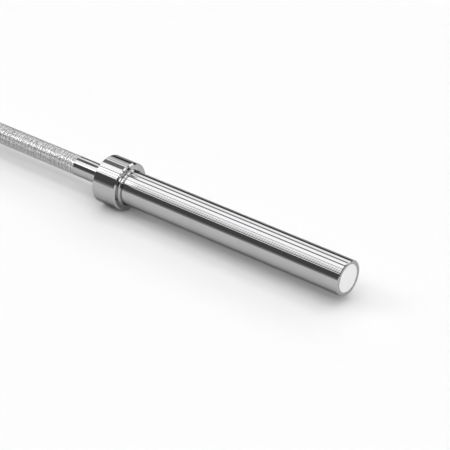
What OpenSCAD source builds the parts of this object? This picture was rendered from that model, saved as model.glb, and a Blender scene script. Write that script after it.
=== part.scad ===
// Olympic barbell: one shaft with a turning sleeve assembly on each end.
// The bar lies along X with its middle at the origin. A sleeve's own pieces are
// drawn along Z, from the collar's inner face outwards, and laid on the bar by on_side().

/* [Bar] */
// Length of the grip between the inner faces of the two collars
grip_length = 1310; // [1150:1:1500]
// Diameter of the grip
grip_d = 28.5; // [27.5:0.1:30]
// Diameter of the journals that carry the sleeves
journal_d = 25; // [22:0.1:25.5]

/* [Knurling] */
// Smooth stretch between a collar and the start of the knurling
collar_to_knurl = 56; // [10:1:80]
// Distance between the two smooth marks that gauge the lifter's grip
mark_spacing = 810; // [700:1:940]
// Width of each smooth mark
mark_width = 5; // [2:0.5:10]
// Distance from the bar's middle to the inner end of the side knurling
knurl_inner_end = 210; // [100:1:300]
// Length of the knurling in the middle of the bar
centre_knurl = 120; // [40:1:180]
// Depth of the knurling
knurl_depth = 0.25; // [0.1:0.05:0.5]

/* [Sleeve] */
// Outer diameter of the sleeve that the plates slide on
sleeve_d = 50; // [48:0.1:52]
// Length of the sleeve from the collar's outer face to its end
sleeve_length = 372; // [220:1:450]
// Chamfer at the end of the sleeve
end_chamfer = 1; // [0.5:0.1:2]
// Diameter of the sleeve's mouth, which takes the end plug
mouth_d = 40.4; // [39:0.1:43]
// Depth of the sleeve's mouth
mouth_depth = 32; // [28:1:45]
// Gap round the journal between the two pairs of bearings
relief_gap = 0.9; // [0.5:0.1:2]

/* [Collar] */
// Outer diameter of the collar
collar_d = 70; // [64:0.5:80]
// Width of the collar along the bar
collar_width = 40; // [20:1:60]
// Chamfer on the collar's edge towards the plates
collar_chamfer = 2; // [0.5:0.5:3]
// Chamfer on the collar's edge towards the grip
collar_back_chamfer = 0.5; // [0.2:0.1:3]
// Step in the sleeve that the collar is pressed up to
collar_step = 1; // [0.5:0.1:2]
// Fillet from the collar's outer face down to the sleeve
root_fillet = 3; // [1:0.5:4]

/* [Bearings] */
// Diameter of a needle roller
needle_d = 2.5; // [2:0.1:3]
// Length of a needle roller
needle_length = 15; // [10:0.5:16]
// Number of needles in one bearing
needle_count = 18; // [10:1:20]
// Wall of a needle bearing's drawn cup
cup_wall = 1; // [0.6:0.1:1.5]
// Width of a needle bearing
bearing_width = 20; // [19:1:26]
// Thickness of the cage that spaces the needles
cage_wall = 1.4; // [0.8:0.1:1.6]
// Length of a bushing's body
bushing_length = 30; // [20:1:36]
// Thickness of a bushing's flange
flange_width = 3; // [2:0.5:4]
// How far a bushing's flange stands out from its body
flange_height = 2; // [1:0.5:2.5]
// Grease space between a bushing and its neighbouring needle bearing
grease_gap = 4; // [2:0.5:8]

/* [Retention] */
// Depth inside the sleeve at which the grip steps down to the journal
shoulder_depth = 7; // [6.5:0.5:10]
// Width of a thrust washer
washer_width = 2; // [1:0.5:3]
// How far a thrust washer stands out past a bushing's body
washer_height = 1.5; // [0.5:0.5:2]
// Thickness of a snap ring
snap_ring_width = 1.2; // [1:0.1:1.5]
// Depth of the snap ring's groove in the journal
groove_depth = 0.55; // [0.3:0.05:0.8]
// Radial width of a snap ring opposite its gap
snap_ring_band = 3; // [2.5:0.1:3.5]
// Length of the journal past the snap ring's groove
journal_tail = 4.5; // [3:0.5:8]

/* [Seal and end plug] */
// Width of the dust seal
seal_width = 5; // [3:0.5:5.5]
// Length of the end plug
plug_length = 14; // [8:0.5:16]
// Wall of the end plug's skirt and face
plug_wall = 2.5; // [1.5:0.5:4]
// How far the end plug's face lies inside the sleeve's end
plug_inset = 1; // [0.5:0.1:3]
// Thickness of the disc on the end plug
disc_width = 0.4; // [0.2:0.1:0.5]
// Width of the plug's bare edge round the disc
disc_margin = 0.3; // [0.2:0.1:3]

/* [Fits] */
// Radial gap drawn between pressed pieces, which are a line fit
press_gap = 0.01; // [0.01:0.01:0.03]
// Radial gap of a bushing on its journal, and of the seal on the grip
running_gap = 0.05; // [0.02:0.01:0.1]
// Radial gap between a needle and each of its two races
needle_gap = 0.02; // [0.01:0.01:0.05]
// Gap between a needle and the sides of its pocket
pocket_gap = 0.1; // [0.05:0.01:0.2]
// Radial gap of a washer on its journal
washer_gap = 0.1; // [0.05:0.05:0.3]
// Play of a sleeve along the shaft at each thrust washer
end_play = 0.2; // [0.1:0.05:0.5]
// Play of a snap ring in its groove
groove_play = 0.1; // [0.05:0.05:0.2]
// Clear space round pieces that do not touch
free_gap = 0.5; // [0.3:0.1:1]

/* [Hidden] */
$fn = 96;

// Small overlap that keeps a cut clear of the face it goes through
cut = 1;

// Radii
grip_r = grip_d / 2;
journal_r = journal_d / 2;
groove_r = journal_r - groove_depth;
sleeve_r = sleeve_d / 2;
collar_r = collar_d / 2;
collar_seat_r = sleeve_r - collar_step;
cup_inner_r = journal_r + needle_d;
seat_r = cup_inner_r + cup_wall;
flange_r = seat_r + flange_height;
counterbore_r = flange_r + free_gap;
washer_r = seat_r + washer_height;
relief_r = journal_r + relief_gap;
mouth_r = mouth_d / 2;
needle_pitch_r = journal_r + needle_d / 2;

// Places along a sleeve, from the collar's inner face outwards
collar_foot_to = collar_width + root_fillet;
seal_from = shoulder_depth - 1 - seal_width;
inner_washer_from = shoulder_depth;
inner_flange_from = inner_washer_from + washer_width + end_play;
counterbore_depth = inner_flange_from + flange_width;
inner_bearing_from = counterbore_depth + bushing_length + grease_gap;
inner_seat_to = inner_bearing_from + bearing_width;
sleeve_end = collar_width + sleeve_length;
mouth_floor = sleeve_end - mouth_depth;
outer_bushing_from = mouth_floor - bushing_length;
outer_bearing_from = outer_bushing_from - grease_gap - bearing_width;
outer_washer_from = mouth_floor + flange_width + end_play;
groove_from = outer_washer_from + washer_width;
groove_width = snap_ring_width + groove_play;
journal_end = groove_from + groove_width + journal_tail;
plug_face = sleeve_end - plug_inset;

// Small details
journal_chamfer = 1;
mouth_chamfer = 0.4;
bushing_chamfer = 0.5;
cup_lip = 0.8;
lip_gap = 0.2;
seal_groove = seal_width / 5;
snap_ring_gap = 5;
lug_r = 2.2;
lug_hole_r = 1;

// A turned ring between two places along the axis
module ring(outer_r, inner_r, from, to) {
    translate([0, 0, from])
        difference() {
            cylinder(r = outer_r, h = to - from);
            translate([0, 0, -cut])
                cylinder(r = inner_r, h = to - from + 2 * cut);
        }
}

// A turned bar with a chamfer at each end, either of which may be nothing
module bar(r, from, to, low = 0, high = 0) {
    translate([0, 0, from + low])
        cylinder(r = r, h = to - from - low - high);
    if (low > 0)
        translate([0, 0, from])
            cylinder(r1 = r - low, r2 = r, h = low);
    if (high > 0)
        translate([0, 0, to - high])
            cylinder(r1 = r, r2 = r - high, h = high);
}

// Lays a sleeve's pieces on the right or the left end of the shaft
module on_side(side) {
    rotate([0, 0, side == "right" ? 0 : 180])
        translate([grip_length / 2, 0, 0])
            rotate([0, 90, 0])
                children();
}

// One end of the shaft: the end of the grip, the journal and its groove
module journal() {
    difference() {
        bar(journal_r, -cut, journal_end, high = journal_chamfer);
        ring(journal_r + cut, groove_r, groove_from, groove_from + groove_width);
    }
    bar(grip_r, -cut, shoulder_depth);
}

// Takes a band of knurling down to its root, between two places on the bar
module knurl_band(from, to) {
    rotate([0, 90, 0])
        ring(grip_r + cut, grip_r - knurl_depth, from, to);
}

module shaft() {
    color("lightgray")
        union() {
            difference() {
                rotate([0, 90, 0])
                    bar(grip_r, -grip_length / 2, grip_length / 2);
                knurl_band(-centre_knurl / 2, centre_knurl / 2);
                for (turn = [0, 180])
                    rotate([0, 0, turn]) {
                        knurl_band(knurl_inner_end, mark_spacing / 2 - mark_width / 2);
                        knurl_band(mark_spacing / 2 + mark_width / 2, grip_length / 2 - collar_to_knurl);
                    }
            }
            on_side("right") journal();
            on_side("left") journal();
        }
}

module sleeve_tube() {
    color("silver")
        difference() {
            union() {
                bar(collar_seat_r, 0, collar_foot_to + cut);
                bar(sleeve_r, collar_foot_to, sleeve_end, high = end_chamfer);
            }
            bar(counterbore_r, -cut, counterbore_depth);
            bar(seat_r, 0, inner_seat_to);
            bar(relief_r, 0, sleeve_end);
            bar(seat_r, outer_bearing_from, sleeve_end);
            bar(mouth_r, mouth_floor, sleeve_end + cut);
            translate([0, 0, sleeve_end - mouth_chamfer])
                cylinder(r1 = mouth_r, r2 = mouth_r + mouth_chamfer + cut, h = mouth_chamfer + cut);
        }
}

// The collar's foot runs out on the sleeve's surface in a hollow fillet
module collar_foot() {
    difference() {
        bar(sleeve_r + root_fillet, collar_width - cut, collar_foot_to);
        translate([0, 0, collar_foot_to])
            rotate_extrude()
                translate([sleeve_r + root_fillet, 0])
                    circle(r = root_fillet);
    }
}

module collar() {
    color("gainsboro")
        difference() {
            union() {
                bar(collar_r, 0, collar_width, low = collar_back_chamfer, high = collar_chamfer);
                collar_foot();
            }
            bar(collar_seat_r + press_gap, -cut, collar_foot_to + cut);
        }
}

// A rubber ring with a groove in its outer face, which leaves two lips on the grip
module dust_seal() {
    color("dimgray")
        difference() {
            ring(counterbore_r - press_gap, grip_r + running_gap, seal_from, seal_from + seal_width);
            ring(
                counterbore_r - seal_groove, grip_r + running_gap + seal_groove,
                seal_from - cut, seal_from + seal_groove
            );
        }
}

module thrust_washer(from) {
    color("darkgray")
        ring(washer_r, journal_r + washer_gap, from, from + washer_width);
}

// A flanged bushing: its body runs from the flange in the direction of toward, 1 or -1
module bushing(flange_from, toward) {
    body_from = toward > 0 ? flange_from + flange_width : flange_from - bushing_length;
    body_to = body_from + bushing_length;
    color("peru")
        difference() {
            union() {
                bar(flange_r, flange_from, flange_from + flange_width);
                bar(
                    seat_r - press_gap, body_from, body_to,
                    low = toward > 0 ? 0 : bushing_chamfer,
                    high = toward > 0 ? bushing_chamfer : 0
                );
            }
            bar(journal_r + running_gap, flange_from - bushing_length - cut, body_to + flange_width + cut);
        }
}

// The drawn shell of a needle bearing, with a lip turned in at each end
module bearing_cup(from) {
    color("gray")
        difference() {
            bar(seat_r - press_gap, from, from + bearing_width);
            bar(journal_r + free_gap, from - cut, from + bearing_width + cut);
            bar(cup_inner_r, from + cup_lip, from + bearing_width - cup_lip);
        }
}

module bearing_cage(from) {
    low = from + cup_lip + lip_gap;
    high = from + bearing_width - cup_lip - lip_gap;
    pocket = [2 * cage_wall + needle_d, needle_d + 2 * pocket_gap, needle_length + 2 * pocket_gap];
    color("goldenrod")
        difference() {
            ring(needle_pitch_r + cage_wall / 2, needle_pitch_r - cage_wall / 2, low, high);
            for (i = [0 : needle_count - 1])
                rotate([0, 0, i * 360 / needle_count])
                    translate([needle_pitch_r, 0, from + bearing_width / 2])
                        cube(pocket, center = true);
        }
}

module bearing_needles(from) {
    middle = from + bearing_width / 2;
    color("whitesmoke")
        for (i = [0 : needle_count - 1])
            rotate([0, 0, i * 360 / needle_count])
                translate([needle_pitch_r, 0, 0])
                    bar(needle_d / 2 - needle_gap, middle - needle_length / 2, middle + needle_length / 2);
}

// An open ring whose band is widest opposite the gap, with an eyed lug each side of the gap
module snap_ring() {
    lug_pitch_r = groove_r + lug_r;
    lug_angle = asin((snap_ring_gap / 2 + lug_r) / lug_pitch_r);
    thin = snap_ring_band / 2;
    color("slategray")
        translate([0, 0, groove_from])
            linear_extrude(snap_ring_width)
                difference() {
                    union() {
                        translate([-thin / 2, 0])
                            circle(r = groove_r + snap_ring_band - thin / 2);
                        for (turn = [-1, 1])
                            rotate(turn * lug_angle)
                                translate([lug_pitch_r, 0])
                                    circle(r = lug_r);
                    }
                    circle(r = groove_r + press_gap);
                    translate([0, -snap_ring_gap / 2])
                        square([2 * collar_r, snap_ring_gap]);
                    for (turn = [-1, 1])
                        rotate(turn * lug_angle)
                            translate([lug_pitch_r, 0])
                                circle(r = lug_hole_r);
                }
}

module end_plug() {
    color("silver")
        difference() {
            bar(mouth_r - press_gap, plug_face - plug_length, plug_face, low = bushing_chamfer);
            bar(mouth_r - plug_wall, plug_face - plug_length - cut, plug_face - plug_wall);
        }
}

module end_disc() {
    color("white")
        bar(mouth_r - disc_margin, plug_face, plug_face + disc_width);
}

shaft();

on_side("right") sleeve_tube();  // sleeve_tube_right
on_side("right") collar();  // collar_right
on_side("right") dust_seal();  // dust_seal_right
on_side("right") thrust_washer(inner_washer_from);  // inner_thrust_washer_right
on_side("right") bushing(inner_flange_from, 1);  // inner_bushing_right
on_side("right") bearing_cup(inner_bearing_from);  // inner_bearing_cup_right
on_side("right") bearing_cage(inner_bearing_from);  // inner_bearing_cage_right
on_side("right") bearing_needles(inner_bearing_from);  // inner_bearing_needles_right
on_side("right") bearing_cup(outer_bearing_from);  // outer_bearing_cup_right
on_side("right") bearing_cage(outer_bearing_from);  // outer_bearing_cage_right
on_side("right") bearing_needles(outer_bearing_from);  // outer_bearing_needles_right
on_side("right") bushing(mouth_floor, -1);  // outer_bushing_right
on_side("right") thrust_washer(outer_washer_from);  // outer_thrust_washer_right
on_side("right") snap_ring();  // snap_ring_right
on_side("right") end_plug();  // end_plug_right
on_side("right") end_disc();  // end_disc_right

on_side("left") sleeve_tube();  // sleeve_tube_left
on_side("left") collar();  // collar_left
on_side("left") dust_seal();  // dust_seal_left
on_side("left") thrust_washer(inner_washer_from);  // inner_thrust_washer_left
on_side("left") bushing(inner_flange_from, 1);  // inner_bushing_left
on_side("left") bearing_cup(inner_bearing_from);  // inner_bearing_cup_left
on_side("left") bearing_cage(inner_bearing_from);  // inner_bearing_cage_left
on_side("left") bearing_needles(inner_bearing_from);  // inner_bearing_needles_left
on_side("left") bearing_cup(outer_bearing_from);  // outer_bearing_cup_left
on_side("left") bearing_cage(outer_bearing_from);  // outer_bearing_cage_left
on_side("left") bearing_needles(outer_bearing_from);  // outer_bearing_needles_left
on_side("left") bushing(mouth_floor, -1);  // outer_bushing_left
on_side("left") thrust_washer(outer_washer_from);  // outer_thrust_washer_left
on_side("left") snap_ring();  // snap_ring_left
on_side("left") end_plug();  // end_plug_left
on_side("left") end_disc();  // end_disc_left
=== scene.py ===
"""Olympic barbell: a knurled chrome shaft that carries a turning sleeve on each end.

The bar lies along X with its middle at the origin, and every length is in metres. Each outer
piece is turned here with fine edges and stands for its solid in the frame. The bearings inside
the sleeves keep their solids, and get the finish of the metal that they are made of.
"""
import logging
import math
from abc import ABC, abstractmethod
from dataclasses import dataclass
from enum import Enum
from typing import Mapping, NamedTuple, Optional, Sequence, Union

import bpy
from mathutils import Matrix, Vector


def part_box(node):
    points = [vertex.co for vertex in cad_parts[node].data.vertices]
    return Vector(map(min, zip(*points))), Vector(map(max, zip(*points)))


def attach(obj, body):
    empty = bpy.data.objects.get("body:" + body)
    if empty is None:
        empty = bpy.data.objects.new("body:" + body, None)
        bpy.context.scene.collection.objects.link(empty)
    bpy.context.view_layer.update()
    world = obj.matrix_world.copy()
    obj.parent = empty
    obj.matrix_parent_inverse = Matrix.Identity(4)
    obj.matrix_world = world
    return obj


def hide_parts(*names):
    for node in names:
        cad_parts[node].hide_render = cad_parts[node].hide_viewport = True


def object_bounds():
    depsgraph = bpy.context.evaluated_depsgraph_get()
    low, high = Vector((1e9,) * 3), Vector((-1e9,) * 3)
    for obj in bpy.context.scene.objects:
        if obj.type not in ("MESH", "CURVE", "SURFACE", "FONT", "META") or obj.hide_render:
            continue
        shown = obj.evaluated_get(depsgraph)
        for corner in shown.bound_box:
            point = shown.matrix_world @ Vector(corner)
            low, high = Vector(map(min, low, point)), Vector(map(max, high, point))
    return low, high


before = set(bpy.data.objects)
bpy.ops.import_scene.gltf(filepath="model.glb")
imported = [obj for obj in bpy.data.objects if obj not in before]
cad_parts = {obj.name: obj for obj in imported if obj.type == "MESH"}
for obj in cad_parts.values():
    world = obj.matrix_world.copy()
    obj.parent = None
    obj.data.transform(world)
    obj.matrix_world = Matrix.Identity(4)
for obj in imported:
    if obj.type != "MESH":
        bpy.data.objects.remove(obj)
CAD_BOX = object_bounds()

log = logging.getLogger("barbell")

MM = 0.001
GRIP_RADIUS = 14.25 * MM
KNURL_ROOT = GRIP_RADIUS - 0.25 * MM

Point = tuple[float, float]
Range = tuple[float, float]
Tint = tuple[float, float, float]
Colour = tuple[float, float, float, float]


class Side(Enum):
    """The two ends of the bar, with the direction of each along X."""

    RIGHT = 1
    LEFT = -1

    @property
    def word(self) -> str:
        """The side as the frame's names have it."""
        return self.name.lower()


class Span(NamedTuple):
    """Where a turned piece of the frame lies: how far out along the bar, and how big across."""

    near: float
    far: float
    radius: float

    @classmethod
    def of(cls, node: str) -> "Span":
        """Measures a piece of the frame.

        Args:
            node: the name of the frame's piece.

        Returns:
            Its near and far ends as distances from the middle of the bar, and its radius.
        """
        low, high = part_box(node)
        near, far = sorted((abs(low.x), abs(high.x)))
        radius = max(-low.y, high.y, -low.z, high.z)
        return cls(round(near, 5), round(far, 5), round(radius, 5))


# Shader maths


class Signal:
    """A number that varies over a surface, which does its own sums through Math nodes."""

    def __init__(self, graph: "Graph", socket: bpy.types.NodeSocket) -> None:
        """Wraps the output socket that carries the number."""
        self.graph = graph
        self.socket = socket

    def __add__(self, other: "Number") -> "Signal":
        """This plus another number."""
        return self.graph.math("ADD", self, other)

    def __radd__(self, other: "Number") -> "Signal":
        """Another number plus this."""
        return self.graph.math("ADD", other, self)

    def __sub__(self, other: "Number") -> "Signal":
        """This less another number."""
        return self.graph.math("SUBTRACT", self, other)

    def __rsub__(self, other: "Number") -> "Signal":
        """Another number less this."""
        return self.graph.math("SUBTRACT", other, self)

    def __mul__(self, other: "Number") -> "Signal":
        """This times another number."""
        return self.graph.math("MULTIPLY", self, other)

    def __rmul__(self, other: "Number") -> "Signal":
        """Another number times this."""
        return self.graph.math("MULTIPLY", other, self)

    def rising(self, low: "Number", high: "Number") -> "Signal":
        """A soft step.

        Args:
            low: the number at which the step is still 0.
            high: the number at which it has reached 1.

        Returns:
            The step, from 0 to 1.
        """
        node = self.graph.node(
            "ShaderNodeMapRange",
            {"interpolation_type": "SMOOTHSTEP"},
            {"Value": self, "From Min": low, "From Max": high},
        )
        return Signal(self.graph, node.outputs["Result"])

    def between(self, start: float, end: float, edge: float) -> "Signal":
        """1 between two numbers and 0 outside them, with an edge that is soft on both sides."""
        return self.rising(start - edge, start + edge) - self.rising(end - edge, end + edge)


Number = Union[float, Signal]


class Pattern(NamedTuple):
    """Clouds or lines over a surface, so many to the metre, and what they do to it.

    Where a range is shown, they start at its first number and are full at its second. They mix
    so much of a second colour in, and add so much to the roughness and to the height.
    """

    per_metre: float
    detail: float = 3.0
    shown: Optional[Range] = None
    shade: float = 0.0
    haze: float = 0.0
    height: float = 0.0


class Graph:
    """The node tree of one finish or of the studio's sky."""

    # Places of the colour sockets on a Mix node
    MIX_FIRST = 6
    MIX_SECOND = 7
    MIX_RESULT = 2

    def __init__(self, tree: bpy.types.NodeTree) -> None:
        """Starts with an empty tree."""
        self.tree = tree
        tree.nodes.clear()

    def node(
        self,
        kind: str,
        settings: Optional[Mapping[str, object]] = None,
        values: Optional[Mapping[Union[int, str], object]] = None,
    ) -> bpy.types.Node:
        """Adds a node.

        Args:
            kind: the node's type.
            settings: its properties, such as a Math node's operation, which are set first.
            values: what goes in each input: a number, a colour, a signal or a socket.

        Returns:
            The node.
        """
        made = self.tree.nodes.new(kind)
        for key, value in (settings or {}).items():
            setattr(made, key, value)
        for key, value in (values or {}).items():
            if isinstance(value, Signal):
                value = value.socket
            if isinstance(value, bpy.types.NodeSocket):
                self.tree.links.new(value, made.inputs[key])
            else:
                made.inputs[key].default_value = value
        return made

    def math(self, operation: str, first: Number, second: Number = 0.0) -> Signal:
        """One sum on two numbers, with a Math node."""
        node = self.node("ShaderNodeMath", {"operation": operation}, {0: first, 1: second})
        return Signal(self, node.outputs["Value"])

    def vector(self, x: Number, y: Number, z: Number) -> bpy.types.NodeSocket:
        """Joins three numbers in a vector."""
        return self.node("ShaderNodeCombineXYZ", {}, {"X": x, "Y": y, "Z": z}).outputs["Vector"]

    def split(self, vector: bpy.types.NodeSocket) -> tuple[Signal, ...]:
        """Parts a vector into its three numbers."""
        parts = self.node("ShaderNodeSeparateXYZ", {}, {"Vector": vector})
        return tuple(Signal(self, parts.outputs[axis]) for axis in "XYZ")

    def blend(self, factor: Number, first: object, second: object) -> bpy.types.NodeSocket:
        """Mixes two colours.

        Args:
            factor: 0 for the first colour, 1 for the second.
            first: a colour or a socket.
            second: a colour or a socket.

        Returns:
            The mixed colour.
        """
        node = self.node(
            "ShaderNodeMix",
            {"data_type": "RGBA"},
            {"Factor": factor, self.MIX_FIRST: first, self.MIX_SECOND: second},
        )
        return node.outputs[self.MIX_RESULT]

    def clouds(self, where: bpy.types.NodeSocket, pattern: Pattern) -> Signal:
        """Clouds over a surface, from 0 to 1."""
        return self.noise("3D", "Vector", where, pattern)

    def lines(self, along: Signal, pattern: Pattern) -> Signal:
        """Uneven fine lines across a direction, from 0 to 1."""
        return self.noise("1D", "W", along, pattern)

    def noise(self, dimensions: str, axis: str, where: object, pattern: Pattern) -> Signal:
        """Draws a pattern with a Noise node.

        Args:
            dimensions: how many ways it varies, as the node says it.
            axis: the node's input that says where on the surface it is.
            where: the signal or socket for that input.
            pattern: its measures.

        Returns:
            The pattern, from 0 to 1.
        """
        node = self.node(
            "ShaderNodeTexNoise",
            {"noise_dimensions": dimensions},
            {axis: where, "Scale": pattern.per_metre, "Detail": pattern.detail},
        )
        drawn = Signal(self, node.outputs["Fac"])
        return drawn.rising(*pattern.shown) if pattern.shown else drawn

    def bump(self, height: Signal, depth: float) -> bpy.types.NodeSocket:
        """The normal of a surface with a height from 0 to 1, whose full range is so deep."""
        values = {"Height": height, "Distance": depth, "Strength": 1.0}
        return self.node("ShaderNodeBump", {}, values).outputs["Normal"]


class Surface(NamedTuple):
    """Places on a piece that the finishes draw on."""

    place: bpy.types.NodeSocket
    along: Signal
    radius: Signal
    travel: Signal

    @classmethod
    def of(cls, graph: Graph) -> "Surface":
        """Reads the piece's own coordinates.

        Args:
            graph: the finish's node tree.

        Returns:
            The place, its distance along the bar, its distance from the bar's axis, and the sum of
            the two, which a tool's marks follow on a cylinder and on a turned face alike.
        """
        place = graph.node("ShaderNodeTexCoord").outputs["Object"]
        along, across, up = graph.split(place)
        from_axis = graph.vector(0.0, across, up)
        length = graph.node("ShaderNodeVectorMath", {"operation": "LENGTH"}, {0: from_axis})
        radius = Signal(graph, length.outputs["Value"])
        return cls(place, along, radius, along + radius)


class Drawn(NamedTuple):
    """What varies over a surface: its colour, its roughness and its relief."""

    tone: bpy.types.NodeSocket
    rough: Signal
    normal: bpy.types.NodeSocket


# Finishes


def grey(value: float) -> Colour:
    """A neutral colour."""
    return (value, value, value, 1.0)


def tinted(colour: Colour, tint: Tint) -> Colour:
    """A colour seen through a film that lets so much of its red, green and blue through."""
    red, green, blue = (share * part for share, part in zip(tint, colour))
    return (red, green, blue, 1.0)


@dataclass(frozen=True)
class Finish(ABC):
    """How one metal, rubber or paint looks. The slot is its name in the record."""

    slot: str
    colour: Colour
    metallic: float
    roughness: float
    edge_tint: Colour = (1.0, 1.0, 1.0, 1.0)

    def material(self) -> bpy.types.Material:
        """Builds the finish the first time that it is asked for.

        Returns:
            The finish's material.
        """
        ready = bpy.data.materials.get(self.name)
        if ready:
            return ready
        made = bpy.data.materials.new(self.name)
        made.use_nodes = True
        graph = Graph(made.node_tree)
        shader = graph.node(
            "ShaderNodeBsdfPrincipled",
            {},
            {
                "Base Color": self.colour,
                "Metallic": self.metallic,
                "Roughness": self.roughness,
                "Specular Tint": self.edge_tint,
            },
        )
        output = graph.node("ShaderNodeOutputMaterial")
        made.node_tree.links.new(shader.outputs["BSDF"], output.inputs["Surface"])
        tone, rough, normal = self.detail(graph, Surface.of(graph))
        made.node_tree.links.new(tone, shader.inputs["Base Color"])
        made.node_tree.links.new(rough.socket, shader.inputs["Roughness"])
        made.node_tree.links.new(normal, shader.inputs["Normal"])
        return made

    @property
    def name(self) -> str:
        """The material's name."""
        return f"{self.slot}_finish"

    @abstractmethod
    def detail(self, graph: Graph, surface: Surface) -> Drawn:
        """Draws what varies over the surface.

        Args:
            graph: the finish's node tree.
            surface: the places on the piece.

        Returns:
            Its colour, roughness and relief.
        """


@dataclass(frozen=True)
class Chrome(Finish):
    """Polished chrome plate over turned steel, with faint polishing rings and hand marks."""

    rings: Pattern = Pattern(2500.0)
    ring_haze: float = 0.3
    ring_depth: float = 0.0004 * MM
    hands: Pattern = Pattern(22.0, 4.0, (0.45, 0.75), shade=0.5)
    handling: float = 0.012
    dust: Pattern = Pattern(900.0, 1.0, (0.62, 0.8), shade=0.25)
    oil_film: Tint = (0.93, 0.93, 0.91)

    def detail(self, graph: Graph, surface: Surface) -> Drawn:
        """Polishing rings, a light haze where hands go, and the slight waviness of plate.

        Args:
            graph: the finish's node tree.
            surface: the places on the piece.

        Returns:
            Its colour, roughness and relief.
        """
        rings = graph.lines(surface.travel, self.rings)
        hands = graph.clouds(surface.place, self.hands)
        dust = graph.clouds(surface.place, self.dust)
        oiled = tinted(self.colour, self.oil_film)
        film = self.hands.shade * hands + self.dust.shade * dust
        tone = graph.blend(film, self.colour, oiled)
        rough = self.roughness + self.handling * hands + self.ring_haze * self.roughness * rings
        normal = graph.bump(rings, self.ring_depth)
        return Drawn(tone, rough, normal)


@dataclass(frozen=True)
class KnurledChrome(Finish):
    """Chrome on the knurl: bright uneven crests, and grooves dull and darkened by painted shade."""

    polished: Range = (GRIP_RADIUS - 0.03 * MM, GRIP_RADIUS - 0.01 * MM)
    crest_roughness: float = 0.2
    rows: Pattern = Pattern(480.0, 1.0, (0.38, 0.62))
    burrs: Pattern = Pattern(480.0, 1.0)
    dull_burrs: Range = (0.42, 0.58)
    grain: Pattern = Pattern(2600.0, 2.0, haze=0.06, height=0.01)
    # The hands clouds make the painted shade in the grooves patchy.
    hands: Pattern = Pattern(18.0)
    # The painted shade in the grooves never falls below this share of its full strength.
    least_shade_and_grime: float = 0.7
    unevenness: float = 0.4
    burr_height: float = 0.28 * MM
    dull_colour: Colour = grey(0.19)
    # The colour that the grooves are darkened towards, as painted shade.
    shade_and_grime_colour: Colour = grey(0.25)

    @property
    def name(self) -> str:
        """The knurl shares the shaft's slot, so its material is named for the knurl."""
        return "knurled_chrome_finish"

    def detail(self, graph: Graph, surface: Surface) -> Drawn:
        """Painted shade in the grooves, crests that hands have polished and that lean every way.

        Args:
            graph: the finish's node tree.
            surface: the places on the piece.

        Returns:
            Its colour, roughness and relief.
        """
        height = surface.radius.rising(KNURL_ROOT, GRIP_RADIUS)
        crest = surface.radius.rising(*self.polished)
        grain = graph.clouds(surface.place, self.grain)
        hands = graph.clouds(surface.place, self.hands)
        rows = graph.lines(surface.along, self.rows)
        burrs = graph.clouds(surface.place, self.burrs)
        # Painted shade: darker the deeper down in the grooves, and patchy with the hands clouds.
        groove = (1 - height) * (self.least_shade_and_grime + (1 - self.least_shade_and_grime) * hands)
        patches = self.unevenness * (rows + burrs.rising(*self.dull_burrs))
        plated = graph.blend(patches, self.colour, self.dull_colour)
        # Mixes the painted groove shade into the plated colour.
        tone = graph.blend(groove, plated, self.shade_and_grime_colour)
        worn = (self.roughness - self.crest_roughness) * crest
        rough = self.roughness + self.grain.haze * grain - worn
        normal = graph.bump(burrs + self.grain.height * grain, self.burr_height)
        return Drawn(tone, rough, normal)


@dataclass(frozen=True)
class WorkedSteel(Finish):
    """Bare steel with its tool's marks, round the axis or along it, and a film of oil."""

    mark_spacing: float = 0.15 * MM
    along_axis: bool = False
    drawn_per_metre: float = 12.0
    mark_shade: float = 0.35
    mark_haze: float = 0.18
    mark_depth: float = 0.0004 * MM
    oil: Pattern = Pattern(160.0, 3.0, (0.4, 0.7), shade=0.4, haze=-0.06)
    oil_film: Tint = (0.7, 0.67, 0.6)

    def detail(self, graph: Graph, surface: Surface) -> Drawn:
        """Grinding rings or drawing lines, and a tint of oil in patches.

        Args:
            graph: the finish's node tree.
            surface: the places on the piece.

        Returns:
            Its colour, roughness and relief.
        """
        per_metre = 1 / self.mark_spacing
        if self.along_axis:
            stretch = graph.node(
                "ShaderNodeVectorMath",
                {"operation": "MULTIPLY"},
                {0: surface.place, 1: (self.drawn_per_metre, per_metre, per_metre)},
            )
            marks = graph.clouds(stretch.outputs["Vector"], Pattern(1.0))
        else:
            marks = graph.lines(surface.travel, Pattern(per_metre))
        oil = graph.clouds(surface.place, self.oil)
        oiled = tinted(self.colour, self.oil_film)
        tone = graph.blend(self.mark_shade * marks + self.oil.shade * oil, self.colour, oiled)
        rough = self.roughness + self.mark_haze * marks + self.oil.haze * oil
        normal = graph.bump(marks, self.mark_depth)
        return Drawn(tone, rough, normal)


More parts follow.
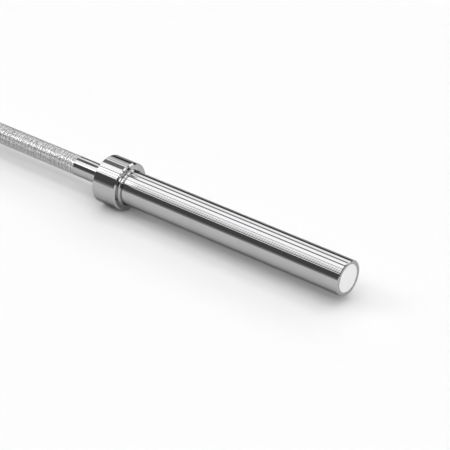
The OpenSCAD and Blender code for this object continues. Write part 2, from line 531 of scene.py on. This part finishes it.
@dataclass(frozen=True)
class SinteredBronze(Finish):
    """Pressed and sintered bronze: fine open pores, filled with oil, and turned faces."""

    pores_per_metre: float = 2400.0
    pore_rim: Range = (0.1, 0.32)
    pore_shade: float = 0.75
    pore_haze: float = 0.2
    pore_depth: float = 0.8
    rings: Pattern = Pattern(5000.0, haze=0.08)
    stains: Pattern = Pattern(120.0, 3.0, (0.4, 0.65), shade=0.6, haze=-0.08)
    relief: float = 0.01 * MM
    stain_colour: Colour = (0.3, 0.17, 0.07, 1.0)
    pore_colour: Colour = (0.09, 0.05, 0.02, 1.0)

    def detail(self, graph: Graph, surface: Surface) -> Drawn:
        """Pores, turning marks and the darker stain of oil.

        Args:
            graph: the finish's node tree.
            surface: the places on the piece.

        Returns:
            Its colour, roughness and relief.
        """
        cells = graph.node(
            "ShaderNodeTexVoronoi", {}, {"Vector": surface.place, "Scale": self.pores_per_metre}
        )
        pores = 1 - Signal(graph, cells.outputs["Distance"]).rising(*self.pore_rim)
        rings = graph.lines(surface.travel, self.rings)
        stain = graph.clouds(surface.place, self.stains)
        stained = graph.blend(self.stains.shade * stain, self.colour, self.stain_colour)
        tone = graph.blend(self.pore_shade * pores, stained, self.pore_colour)
        turned = self.roughness + self.rings.haze * rings
        rough = turned + self.pore_haze * pores + self.stains.haze * stain
        normal = graph.bump(rings - self.pore_depth * pores, self.relief)
        return Drawn(tone, rough, normal)


@dataclass(frozen=True)
class MouldedRubber(Finish):
    """Black rubber from a mould: a fine grain, rings left by the tool, and a little bloom."""

    grain: Pattern = Pattern(3500.0, 2.0, haze=0.1, height=0.6)
    rings: Pattern = Pattern(2500.0, height=0.4)
    bloom: Pattern = Pattern(90.0, 4.0, (0.45, 0.8), shade=0.5, haze=0.08)
    relief: float = 0.01 * MM
    bloom_colour: Colour = grey(0.075)

    def detail(self, graph: Graph, surface: Surface) -> Drawn:
        """Grain, mould rings and a grey bloom.

        Args:
            graph: the finish's node tree.
            surface: the places on the piece.

        Returns:
            Its colour, roughness and relief.
        """
        grain = graph.clouds(surface.place, self.grain)
        rings = graph.lines(surface.radius, self.rings)
        bloom = graph.clouds(surface.place, self.bloom)
        tone = graph.blend(self.bloom.shade * bloom, self.colour, self.bloom_colour)
        rough = self.roughness + self.grain.haze * grain + self.bloom.haze * bloom
        height = self.grain.height * grain + self.rings.height * rings
        normal = graph.bump(height, self.relief)
        return Drawn(tone, rough, normal)


@dataclass(frozen=True)
class Phosphate(Finish):
    """Dark phosphate on spring steel: a dull crystal grain, rubbed brighter in places."""

    crystals: Pattern = Pattern(5200.0, haze=0.2)
    rubs: Pattern = Pattern(240.0, 2.0, (0.55, 0.75), shade=0.5, haze=-0.15)
    relief: float = 0.006 * MM
    rubbed_colour: Colour = grey(0.16)

    def detail(self, graph: Graph, surface: Surface) -> Drawn:
        """Crystals and rubbed patches.

        Args:
            graph: the finish's node tree.
            surface: the places on the piece.

        Returns:
            Its colour, roughness and relief.
        """
        crystals = graph.clouds(surface.place, self.crystals)
        rubbed = graph.clouds(surface.place, self.rubs)
        tone = graph.blend(self.rubs.shade * rubbed, self.colour, self.rubbed_colour)
        rough = self.roughness + self.crystals.haze * crystals + self.rubs.haze * rubbed
        normal = graph.bump(crystals, self.relief)
        return Drawn(tone, rough, normal)


@dataclass(frozen=True)
class SatinAluminium(Finish):
    """Turned aluminium with the fine rings of the lathe, anodised satin."""

    rings: Pattern = Pattern(6500.0, shade=0.3, haze=0.12)
    film: Pattern = Pattern(130.0, shade=0.2, haze=0.05)
    relief: float = 0.001 * MM
    film_colour: Colour = grey(0.42)

    def detail(self, graph: Graph, surface: Surface) -> Drawn:
        """Lathe rings and a cloudy anodised film.

        Args:
            graph: the finish's node tree.
            surface: the places on the piece.

        Returns:
            Its colour, roughness and relief.
        """
        rings = graph.lines(surface.travel, self.rings)
        film = graph.clouds(surface.place, self.film)
        shade = self.rings.shade * rings + self.film.shade * film
        tone = graph.blend(shade, self.colour, self.film_colour)
        rough = self.roughness + self.rings.haze * rings + self.film.haze * film
        normal = graph.bump(rings, self.relief)
        return Drawn(tone, rough, normal)


@dataclass(frozen=True)
class WhitePlate(Finish):
    """White coated plate: a slight orange peel, and a little grime caught at its edge."""

    edge: float = 19.9 * MM
    clean_share: float = 0.93
    peel: Pattern = Pattern(1300.0, 2.0)
    mottle: Pattern = Pattern(160.0, 4.0, shade=0.3, haze=0.12)
    mottle_tone: float = 0.9
    least_shade_and_grime: float = 0.4
    grime_shade: float = 0.35
    grime_haze: float = 0.1
    relief: float = 0.003 * MM
    shade_and_grime_colour: Colour = grey(0.5)

    def detail(self, graph: Graph, surface: Surface) -> Drawn:
        """Orange peel, faint mottling and the grey of handling near the edge.

        Args:
            graph: the finish's node tree.
            surface: the places on the piece.

        Returns:
            Its colour, roughness and relief.
        """
        peel = graph.clouds(surface.place, self.peel)
        mottle = graph.clouds(surface.place, self.mottle)
        near_edge = surface.radius.rising(self.clean_share * self.edge, self.edge)
        grime = near_edge * (self.least_shade_and_grime + (1 - self.least_shade_and_grime) * mottle)
        darker = grey(self.mottle_tone * self.colour[0])
        shaded = graph.blend(self.mottle.shade * mottle, self.colour, darker)
        tone = graph.blend(self.grime_shade * grime, shaded, self.shade_and_grime_colour)
        rough = self.roughness + self.mottle.haze * mottle + self.grime_haze * grime
        normal = graph.bump(peel, self.relief)
        return Drawn(tone, rough, normal)


CHROME = (0.45, 0.45, 0.455, 1.0)
CHROME_EDGE = grey(0.35)
SHAFT_CHROME = Chrome("shaft_chrome", CHROME, 1.0, 0.025, CHROME_EDGE, handling=0.02)
KNURL_CHROME = KnurledChrome("shaft_chrome", (0.94, 0.94, 0.945, 1.0), 1.0, 0.3, grey(0.1))
SLEEVE_CHROME = Chrome("sleeve_chrome", CHROME, 1.0, 0.022, CHROME_EDGE)
COLLAR_CHROME = Chrome("collar_chrome", CHROME, 1.0, 0.022, CHROME_EDGE)
SEAL_RUBBER = MouldedRubber("seal_rubber", grey(0.03), 0.0, 0.6)
WASHER_STEEL = WorkedSteel("bearing_steel", (0.55, 0.55, 0.54, 1.0), 1.0, 0.2)
BUSHING_BRONZE = SinteredBronze("bushing_bronze", (0.55, 0.33, 0.14, 1.0), 1.0, 0.32)
CUP_STEEL = WorkedSteel(
    "cup_steel", (0.42, 0.42, 0.41, 1.0), 1.0, 0.28, mark_spacing=0.5 * MM, along_axis=True
)
CAGE_STEEL = WorkedSteel(
    "cage_steel", (0.36, 0.35, 0.33, 1.0), 1.0, 0.36, mark_spacing=0.8 * MM, along_axis=True
)
NEEDLE_STEEL = WorkedSteel("needle_steel", grey(0.66), 1.0, 0.08, mark_spacing=0.1 * MM)
RING_STEEL = Phosphate("spring_steel", (0.06, 0.06, 0.065, 1.0), 0.4, 0.5)
PLUG_ALUMINIUM = SatinAluminium("plug_metal", (0.6, 0.6, 0.61, 1.0), 1.0, 0.25)
DISC_WHITE = WhitePlate("disc_white", grey(0.85), 0.0, 0.38)


# Modelling

WELD = 0.0005 * MM
SHARP_ANGLE = math.radians(25)
EDGE_STEPS = 3


class Bench:
    """Where pieces are modelled, with the same operators as by hand, one piece at a time."""

    @staticmethod
    def clear() -> None:
        """Leaves edit mode and drops the selection."""
        if bpy.context.object and bpy.context.object.mode != "OBJECT":
            bpy.ops.object.mode_set(mode="OBJECT")
        bpy.ops.object.select_all(action="DESELECT")

    @staticmethod
    def start(name: str) -> bpy.types.Object:
        """Names the primitive that was just added and settles its place in its mesh.

        Args:
            name: the piece's name.

        Returns:
            The piece.
        """
        piece = bpy.context.object
        piece.name = name
        bpy.ops.object.transform_apply(location=True, rotation=True, scale=True)
        return piece

    @staticmethod
    def arc(centre: Point, radius: float, start: float, end: float, steps: int = 8) -> list[Point]:
        """Points on an arc of an outline.

        Args:
            centre: the arc's centre, along the bar and out from its axis.
            radius: the arc's radius.
            start: the angle of the first point, in degrees.
            end: the angle of the last point, in degrees.
            steps: how many straight pieces it has.

        Returns:
            The points in order.
        """
        angles = [math.radians(start + (end - start) * step / steps) for step in range(steps + 1)]
        along, out = centre
        return [(along + radius * math.cos(a), out + radius * math.sin(a)) for a in angles]

    @classmethod
    def turn(
        cls, name: str, outline: Sequence[Point], edge: float, faces_round: int = 192
    ) -> bpy.types.Object:
        """Turns an outline round the bar's axis, as on a lathe, and breaks its sharp edges.

        Args:
            name: the piece's name.
            outline: the place along the bar and the radius of each corner, in order. A solid
                piece's begins and ends on the axis, and a ring's runs back to its first corner.
            edge: the width of the small round on each sharp edge.
            faces_round: how many faces go round the piece.

        Returns:
            The piece.
        """
        cls.clear()
        is_ring = outline[0][1] > 0
        corners = list(outline) + ([outline[0]] if is_ring else [])
        bpy.ops.mesh.primitive_plane_add(size=MM, location=(corners[0][0], 0.0, corners[0][1]))
        piece = cls.start(name)
        bpy.ops.object.mode_set(mode="EDIT")
        bpy.ops.mesh.select_all(action="SELECT")
        bpy.ops.mesh.merge(type="CENTER")
        for (along, out), (next_along, next_out) in zip(corners, corners[1:]):
            step = (next_along - along, 0.0, next_out - out)
            bpy.ops.mesh.extrude_region_move(TRANSFORM_OT_translate={"value": step})
        bpy.ops.mesh.select_all(action="SELECT")
        bpy.ops.mesh.spin(steps=faces_round, angle=math.tau, center=(0, 0, 0), axis=(1, 0, 0))
        bpy.ops.mesh.select_all(action="SELECT")
        bpy.ops.mesh.remove_doubles(threshold=WELD)
        bpy.ops.mesh.normals_make_consistent(inside=False)
        bpy.ops.object.mode_set(mode="OBJECT")
        bpy.ops.object.shade_smooth()
        cls.round_edges(piece, edge)
        return piece

    @staticmethod
    def round_edges(piece: bpy.types.Object, width: float) -> None:
        """Breaks a piece's sharp edges with a small round, and keeps its faces' own shading.

        Args:
            piece: the modelled piece.
            width: the width of the round.
        """
        bevel = piece.modifiers.new("edge_break", "BEVEL")
        bevel.width = width
        bevel.segments = EDGE_STEPS
        bevel.limit_method = "ANGLE"
        bevel.angle_limit = SHARP_ANGLE
        bevel.harden_normals = True
        bpy.ops.object.modifier_apply(modifier=bevel.name)

    @staticmethod
    def finish(piece: bpy.types.Object, look: Finish, body: str, *nodes: str) -> None:
        """Dresses a piece and fixes it to the part of the bar that it moves with.

        Args:
            piece: the modelled piece.
            look: its finish.
            body: the body of the frame that it rides on.
            nodes: the piece of the frame that it stands for, or several.
        """
        piece.data.materials.clear()
        piece.data.materials.append(look.material())
        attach(piece, body)
        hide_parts(*nodes)
        log.info("%s: %d faces, on %s", piece.name, len(piece.data.polygons), body)


@dataclass
class Knurling:
    """One band of diamond knurling, raised from the band that is turned down for it."""

    name: str
    start: float
    end: float
    root: float = KNURL_ROOT
    crest: float = GRIP_RADIUS
    diamonds_round: int = 48
    helix: float = 30.0
    crest_share: float = 0.55
    sunk: float = 0.04 * MM
    end_gap: float = 0.02 * MM

    def build(self) -> bpy.types.Object:
        """Cuts one pair of diamonds, repeats it along and round the band, and trims the ends.

        Returns:
            The band.
        """
        half_width = math.pi * self.root / self.diamonds_round
        stretch = 1 / math.tan(math.radians(self.helix))
        half_length = half_width * stretch
        band = self.pair(half_width, half_length, stretch)
        rows = math.ceil((self.end - self.start) / (2 * half_length)) + 1
        along = band.modifiers.new("rows_along", "ARRAY")
        along.count = rows
        along.use_relative_offset = False
        along.use_constant_offset = True
        along.constant_offset_displace = (2 * half_length, 0, 0)
        bpy.ops.object.modifier_apply(modifier=along.name)
        self.repeat_round(band)
        for place, way in ((self.start + self.end_gap, -1), (self.end - self.end_gap, 1)):
            bpy.ops.object.mode_set(mode="EDIT")
            bpy.ops.mesh.select_all(action="SELECT")
            bpy.ops.mesh.bisect(
                plane_co=(place, 0, 0), plane_no=(way, 0, 0), use_fill=True, clear_outer=True
            )
            bpy.ops.object.mode_set(mode="OBJECT")
        return band

    def pair(self, half_width: float, half_length: float, stretch: float) -> bpy.types.Object:
        """Models one diamond with a flat crest, and its neighbour half a step along and round.

        Args:
            half_width: half of the diamond's width round the shaft.
            half_length: half of its length along the shaft.
            stretch: how many times longer it is than wide.

        Returns:
            The start of the band.
        """
        Bench.clear()
        height = self.crest - self.root + self.sunk
        place = (self.start, 0.0, self.crest - height / 2)
        grow = 1 + self.sunk / (self.crest - self.root) * (1 - self.crest_share)
        bpy.ops.mesh.primitive_cone_add(
            vertices=4,
            radius1=half_width * grow,
            radius2=half_width * self.crest_share,
            depth=height,
            location=place,
        )
        band = Bench.start(self.name)
        bpy.ops.object.mode_set(mode="EDIT")
        bpy.ops.mesh.select_all(action="SELECT")
        bpy.ops.transform.resize(value=(stretch, 1, 1), center_override=place)
        bpy.ops.mesh.duplicate_move(TRANSFORM_OT_translate={"value": (half_length, 0, 0)})
        bpy.ops.transform.rotate(
            value=math.pi / self.diamonds_round, orient_axis="X", center_override=(0, 0, 0)
        )
        bpy.ops.object.mode_set(mode="OBJECT")
        return band

    def repeat_round(self, band: bpy.types.Object) -> None:
        """Repeats the band's row all the way round the shaft.

        Args:
            band: the row.
        """
        turn = bpy.data.objects.new("one_step_round", None)
        bpy.context.scene.collection.objects.link(turn)
        turn.rotation_euler = (math.tau / self.diamonds_round, 0, 0)
        bpy.context.view_layer.update()
        around = band.modifiers.new("rows_round", "ARRAY")
        around.count = self.diamonds_round
        around.use_relative_offset = False
        around.use_object_offset = True
        around.offset_object = turn
        bpy.ops.object.modifier_apply(modifier=around.name)
        bpy.data.objects.remove(turn)


@dataclass
class Shaft:
    """The one-piece bar: smooth and knurled grip, a journal at each end and its ring groove."""

    mark_spacing: float = 810 * MM
    mark_width: float = 5 * MM
    centre_knurl: float = 120 * MM
    side_knurl_from: float = 210 * MM
    knurl_to_collar: float = 56 * MM
    journal_radius: float = 12.5 * MM
    shoulder_depth: float = 7 * MM
    groove_depth: float = 0.55 * MM
    groove_play: float = 0.1 * MM
    end_chamfer: float = 1 * MM
    edge: float = 0.1 * MM
    faces_round: int = 160

    def bands(self) -> list[Range]:
        """Places the knurling of the right half.

        Returns:
            Where each band starts and ends, from the middle out.
        """
        mark_from = (self.mark_spacing - self.mark_width) / 2
        grip_end = Span.of("collar_right").near
        return [
            (self.side_knurl_from, mark_from),
            (mark_from + self.mark_width, grip_end - self.knurl_to_collar),
        ]

    def outline(self) -> list[Point]:
        """Draws the shaft.

        Returns:
            Its corners from its left end to its right end, both on the axis.
        """
        middle_to = self.centre_knurl / 2
        half = [(middle_to, KNURL_ROOT), (middle_to, GRIP_RADIUS)]
        for start, end in self.bands():
            half += [(start, GRIP_RADIUS), (start, KNURL_ROOT)]
            half += [(end, KNURL_ROOT), (end, GRIP_RADIUS)]
        shoulder = Span.of("collar_right").near + self.shoulder_depth
        ring = Span.of("snap_ring_right")
        groove_root = self.journal_radius - self.groove_depth
        journal_end = Span.of("shaft").far
        half += [
            (shoulder, GRIP_RADIUS),
            (shoulder, self.journal_radius),
            (ring.near, self.journal_radius),
            (ring.near, groove_root),
            (ring.far + self.groove_play, groove_root),
            (ring.far + self.groove_play, self.journal_radius),
            (journal_end - self.end_chamfer, self.journal_radius),
            (journal_end, self.journal_radius - self.end_chamfer),
            (journal_end, 0.0),
        ]
        return [(-along, out) for along, out in reversed(half)] + half

    def build(self) -> None:
        """Turns the shaft and raises its knurling."""
        bar = Bench.turn("shaft_bar", self.outline(), self.edge, self.faces_round)
        Bench.finish(bar, SHAFT_CHROME, "shaft", "shaft")
        bands = [("knurl_middle", -self.centre_knurl / 2, self.centre_knurl / 2)]
        for part, (start, end) in zip(("hand", "outer"), self.bands()):
            bands += [(f"knurl_{part}_right", start, end), (f"knurl_{part}_left", -end, -start)]
        for name, start, end in bands:
            Bench.finish(Knurling(name, start, end).build(), KNURL_CHROME, "shaft", "shaft")


@dataclass
class Sleeve:
    """One turning sleeve: its tube, collar, seal, end plug and disc, and the bearings inside."""

    side: Side
    collar_seat_radius: float = 24 * MM
    root_fillet: float = 3 * MM
    collar_width: float = 40 * MM
    collar_chamfer: float = 2 * MM
    back_chamfer: float = 0.5 * MM
    end_chamfer: float = 1 * MM
    mouth_chamfer: float = 0.4 * MM
    relief_radius: float = 13.4 * MM
    flange_width: float = 3 * MM
    plug_wall: float = 2.5 * MM
    plug_chamfer: float = 0.5 * MM
    seal_groove: float = 1 * MM
    seal_running_gap: float = 0.05 * MM
    press_gap: float = 0.01 * MM
    edge: float = 0.2 * MM
    plug_edge: float = 0.1 * MM
    disc_edge: float = 0.12 * MM

    def node(self, piece: str) -> str:
        """The frame's name for this side's piece."""
        return f"{piece}_{self.side.word}"

    def span(self, piece: str) -> Span:
        """Where this side's piece lies in the frame."""
        return Span.of(self.node(piece))

    def tube_outline(self) -> list[Point]:
        """Draws the sleeve tube, with its collar seat, its bearing seats and its mouth.

        Returns:
            Its corners, outwards from the middle of the bar.
        """
        tube = self.span("sleeve_tube")
        collar = self.span("collar")
        inner_cup = self.span("inner_bearing_cup")
        outer_cup = self.span("outer_bearing_cup")
        counterbore = self.span("dust_seal").radius + self.press_gap
        counterbore_to = self.span("inner_bushing").near + self.flange_width
        seat = inner_cup.radius + self.press_gap
        mouth = self.span("end_plug").radius + self.press_gap
        mouth_floor = self.span("outer_bushing").far - self.flange_width
        return [
            (tube.near, counterbore),
            (tube.near, self.collar_seat_radius),
            (collar.far, self.collar_seat_radius),
            (collar.far, tube.radius),
            (tube.far - self.end_chamfer, tube.radius),
            (tube.far, tube.radius - self.end_chamfer),
            (tube.far, mouth + self.mouth_chamfer),
            (tube.far - self.mouth_chamfer, mouth),
            (mouth_floor, mouth),
            (mouth_floor, seat),
            (outer_cup.near, seat),
            (outer_cup.near, self.relief_radius),
            (inner_cup.far, self.relief_radius),
            (inner_cup.far, seat),
            (counterbore_to, seat),
            (counterbore_to, counterbore),
        ]

    def collar_outline(self) -> list[Point]:
        """Draws the collar, with its chamfers and the hollow fillet of its foot.

        Returns:
            Its corners.
        """
        collar = self.span("collar")
        face = collar.near + self.collar_width
        bore = self.collar_seat_radius + self.press_gap
        centre = (collar.far, self.span("sleeve_tube").radius + self.root_fillet)
        return [
            (collar.near, bore),
            (collar.near, collar.radius - self.back_chamfer),
            (collar.near + self.back_chamfer, collar.radius),
            (face - self.collar_chamfer, collar.radius),
            (face, collar.radius - self.collar_chamfer),
            *Bench.arc(centre, self.root_fillet, 180, 270),
            (collar.far, bore),
        ]

    def seal_outline(self) -> list[Point]:
        """Draws the dust seal, with the groove that leaves two lips.

        Returns:
            Its corners.
        """
        seal = self.span("dust_seal")
        bore = GRIP_RADIUS + self.seal_running_gap
        floor = seal.near + self.seal_groove
        return [
            (seal.near, bore),
            (seal.near, bore + self.seal_groove),
            (floor, bore + self.seal_groove),
            (floor, seal.radius - self.seal_groove),
            (seal.near, seal.radius - self.seal_groove),
            (seal.near, seal.radius),
            (seal.far, seal.radius),
            (seal.far, bore),
        ]

    def plug_outline(self) -> list[Point]:
        """Draws the end plug, a cup with its floor outwards.

        Returns:
            Its corners, from the axis to the axis.
        """
        plug = self.span("end_plug")
        floor = plug.far - self.plug_wall
        skirt = plug.radius + self.press_gap - self.plug_wall
        return [
            (floor, 0.0),
            (floor, skirt),
            (plug.near, skirt),
            (plug.near, plug.radius - self.plug_chamfer),
            (plug.near + self.plug_chamfer, plug.radius),
            (plug.far, plug.radius),
            (plug.far, 0.0),
        ]

    def disc_outline(self) -> list[Point]:
        """The end disc's corners, from the axis to the axis."""
        near, far, radius = self.span("end_disc")
        return [(near, 0.0), (near, radius), (far, radius), (far, 0.0)]

    def build(self) -> None:
        """Turns the outer pieces and dresses the bearings inside."""
        pieces = (
            ("sleeve_shell", "sleeve_tube", SLEEVE_CHROME, self.tube_outline(), self.edge),
            ("collar_ring", "collar", COLLAR_CHROME, self.collar_outline(), self.edge),
            ("seal_ring", "dust_seal", SEAL_RUBBER, self.seal_outline(), self.edge),
            ("plug_cup", "end_plug", PLUG_ALUMINIUM, self.plug_outline(), self.plug_edge),
            ("end_plate", "end_disc", DISC_WHITE, self.disc_outline(), self.disc_edge),
        )
        for name, node, look, outline, edge in pieces:
            placed = [(self.side.value * along, out) for along, out in outline]
            piece = Bench.turn(self.node(name), placed, edge)
            Bench.finish(piece, look, self.node("sleeve"), self.node(node))
        self.dress_inside()

    def dress_inside(self) -> None:
        """Gives the pieces of the frame that stay inside the sleeve their own finishes."""
        looks: dict[str, Finish] = {"snap_ring": RING_STEEL}
        for place in ("inner", "outer"):
            looks[f"{place}_thrust_washer"] = WASHER_STEEL
            looks[f"{place}_bushing"] = BUSHING_BRONZE
            looks[f"{place}_bearing_cup"] = CUP_STEEL
            looks[f"{place}_bearing_cage"] = CAGE_STEEL
            looks[f"{place}_bearing_needles"] = NEEDLE_STEEL
        for piece, look in looks.items():
            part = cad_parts[self.node(piece)]
            for slot in part.material_slots:
                slot.material = look.material()
            log.info("%s: %s", part.name, look.name)


# Studio


class Seam(NamedTuple):
    """A darker line along the bank of lights, between two angles, and what it lets through."""

    start: float
    end: float
    share: float


class Stretch(NamedTuple):
    """A stretch of the bank with seams of its own, from so far out towards its ends on."""

    start: float
    seams: tuple[Seam, ...]


@dataclass
class Studio:
    """A pale floor under a long bank of soft lights, and the camera at the photograph's angle.

    The bank runs along the bar, over it. Angles go from the front horizon, at 0 degrees, over the
    bar to the back horizon at 180. Reaches go from 0, straight across the bar, to 1, straight
    past its ends, and count on both sides alike. The bank's stretches have their own seams, it
    has a gap towards each end, and a stronger lamp hangs low in front there. Pale low screens
    stand in front, behind and past the ends, and the room's corners are darker.
    """

    floor_width: float = 300.0
    floor_colour: float = 0.783
    floor_roughness: float = 0.95
    fibres: Pattern = Pattern(900.0, 2.0)
    fibre_shade: float = 0.985
    front_level: float = 0.11
    back_level: float = 0.04
    front_to_back: Range = (70.0, 90.0)
    corner_level: float = 0.5
    corner_start: Range = (0.36, 0.44)
    corner_end: Range = (0.6, 0.617)
    screen_level: float = 0.96
    screen_height: float = 0.14
    screen_fade: Range = (-0.02, 0.22)
    bank_from: float = 40.5
    bank_to: float = 157.0
    bank_level: float = 2.07
    bank_edge: float = 0.4
    stretch_edge: float = 0.001
    end_gap: Range = (0.79, 0.9)
    end_gap_edge: float = 0.01
    key_rise: Range = (48.0, 56.0)
    key_fall: Range = (66.0, 80.0)
    key_gain: float = 0.5
    lamp_rise: Range = (40.0, 45.0)
    lamp_fall: Range = (57.0, 73.0)
    lamp_reach: Range = (0.615, 0.79)
    lamp_edge: float = 0.015
    lamp_level: float = 3.4
    lens: float = 148.98
    sensor: float = 36.0
    camera_place: tuple[float, float, float] = (2.1889, -1.6703, 1.3222)
    camera_tilt: float = 58.254
    camera_turn: float = 38.432
    stretches: tuple[Stretch, ...] = (
        Stretch(
            0.0,
            (
                Seam(43.4, 49.4, 0.08),
                Seam(51.8, 56.2, 0.15),
                Seam(58.7, 64.0, 0.12),
                Seam(67.4, 70.8, 0.2),
                Seam(74.0, 78.0, 0.18),
                Seam(98.0, 106.0, 0.12),
                Seam(125.6, 137.6, 0.2),
            ),
        ),
        Stretch(
            0.5735,
            (
                Seam(38.0, 46.2, 0.06),
                Seam(51.4, 54.6, 0.3),
                Seam(62.6, 66.2, 0.25),
                Seam(73.6, 77.6, 0.25),
                Seam(100.0, 120.5, 0.14),
                Seam(120.5, 124.5, 0.5),
                Seam(124.5, 128.5, 0.95),
                Seam(128.5, 137.0, 0.46),
                Seam(137.0, 140.5, 0.9),
                Seam(140.5, 160.0, 0.5),
            ),
        ),
        Stretch(
            0.5906,
            (
                Seam(38.0, 49.0, 0.06),
                Seam(67.5, 73.0, 0.2),
                Seam(92.0, 126.5, 0.09),
                Seam(126.5, 160.0, 0.85),
            ),
        ),
        Stretch(
            0.604,
            (
                Seam(38.0, 46.0, 0.06),
                Seam(74.0, 88.0, 0.35),
                Seam(120.0, 160.0, 0.55),
            ),
        ),
        Stretch(
            0.7,
            (
                Seam(38.0, 46.0, 0.06),
                Seam(74.0, 88.0, 0.35),
                Seam(100.0, 160.0, 0.0),
            ),
        ),
    )

    def build(self) -> None:
        """Lays the floor, lights the sky and sets the camera."""
        self.floor()
        self.sky()
        self.camera()
        bpy.context.scene.view_settings.view_transform = "Standard"

    def floor(self) -> None:
        """A plain pale sheet that the bar's collars rest on."""
        Bench.clear()
        height = CAD_BOX[0].z
        bpy.ops.mesh.primitive_plane_add(size=self.floor_width, location=(0, 0, height))
        sheet = Bench.start("studio_floor")
        paper = bpy.data.materials.new("pale_paper")
        paper.use_nodes = True
        graph = Graph(paper.node_tree)
        place = graph.node("ShaderNodeTexCoord").outputs["Object"]
        fibre = graph.clouds(place, self.fibres)
        shaded = grey(self.fibre_shade * self.floor_colour)
        tone = graph.blend(fibre, grey(self.floor_colour), shaded)
        shader = graph.node(
            "ShaderNodeBsdfPrincipled",
            {},
            {"Base Color": tone, "Roughness": self.floor_roughness, "Specular IOR Level": 0.0},
        )
        graph.node("ShaderNodeOutputMaterial", {}, {"Surface": shader.outputs["BSDF"]})
        sheet.data.materials.append(paper)

    def sky(self) -> None:
        """Long strips of soft light over the bar, in a darker room with pale low screens."""
        world = bpy.data.worlds.new("studio_light")
        world.use_nodes = True
        bpy.context.scene.world = world
        graph = Graph(world.node_tree)
        along, across, up = graph.split(graph.node("ShaderNodeTexCoord").outputs["Generated"])
        angle = graph.math("ARCTAN2", up, -1 * across) * (180 / math.pi)
        reach = graph.math("ABSOLUTE", along)
        darker = self.back_level - self.front_level
        room = self.front_level + angle.rising(*self.front_to_back) * darker
        bank = self.bank_level * self.bank_light(angle, reach)
        level = room + angle.between(self.bank_from, self.bank_to, self.bank_edge) * (bank - room)
        lamp = angle.rising(*self.lamp_rise) - angle.rising(*self.lamp_fall)
        lamp = lamp * reach.between(*self.lamp_reach, self.lamp_edge)
        level = level + self.lamp_level * lamp
        screens = 1 - reach.rising(*self.corner_start) + reach.rising(*self.corner_end)
        foot, top = self.screen_fade
        haze = 1 - up.rising(self.screen_height * screens + foot, top)
        horizon = self.corner_level + screens * (self.screen_level - self.corner_level)
        level = level + haze * (horizon - level)
        background = graph.node("ShaderNodeBackground", {}, {"Color": grey(1.0), "Strength": level})
        graph.node("ShaderNodeOutputWorld", {}, {"Surface": background.outputs["Background"]})

    def bank_light(self, angle: Signal, reach: Signal) -> Signal:
        """Works out the light of the bank, with its seams, its gaps and its brighter front.

        Args:
            angle: the angle over the bar.
            reach: how far out towards the ends of the bar.

        Returns:
            The light, as a share of the bank's level.
        """
        light = self.through(angle, self.stretches[0].seams)
        for start, seams in self.stretches[1:]:
            beyond = reach.rising(start - self.stretch_edge, start + self.stretch_edge)
            light = light + beyond * (self.through(angle, seams) - light)
        light = light * (1 - reach.between(*self.end_gap, self.end_gap_edge))
        key = angle.rising(*self.key_rise) - angle.rising(*self.key_fall)
        return light * (1 + self.key_gain * key)

    def through(self, angle: Signal, seams: Sequence[Seam]) -> Number:
        """Works out how much of the bank's light its seams let through.

        Args:
            angle: the angle over the bar.
            seams: the darker lines.

        Returns:
            The share, from 0 to 1.
        """
        share: Number = 1.0
        for seam in seams:
            shaded = angle.between(seam.start, seam.end, self.bank_edge)
            share = share - shaded * (1 - seam.share)
        return share

    def camera(self) -> None:
        """The camera, where the photograph was taken from."""
        lens = bpy.data.cameras.new("camera")
        lens.lens = self.lens
        lens.sensor_width = self.sensor
        camera = bpy.data.objects.new("camera", lens)
        camera.location = self.camera_place
        tilt, turn = math.radians(self.camera_tilt), math.radians(self.camera_turn)
        camera.rotation_euler = (tilt, 0.0, turn)
        bpy.context.scene.collection.objects.link(camera)
        bpy.context.scene.camera = camera


def main() -> None:
    """Builds the studio, the shaft and both sleeves."""
    logging.basicConfig(level=logging.INFO, format="%(message)s")
    Studio().build()
    Shaft().build()
    for side in Side:
        Sleeve(side).build()


if __name__ == "__main__":
    main()
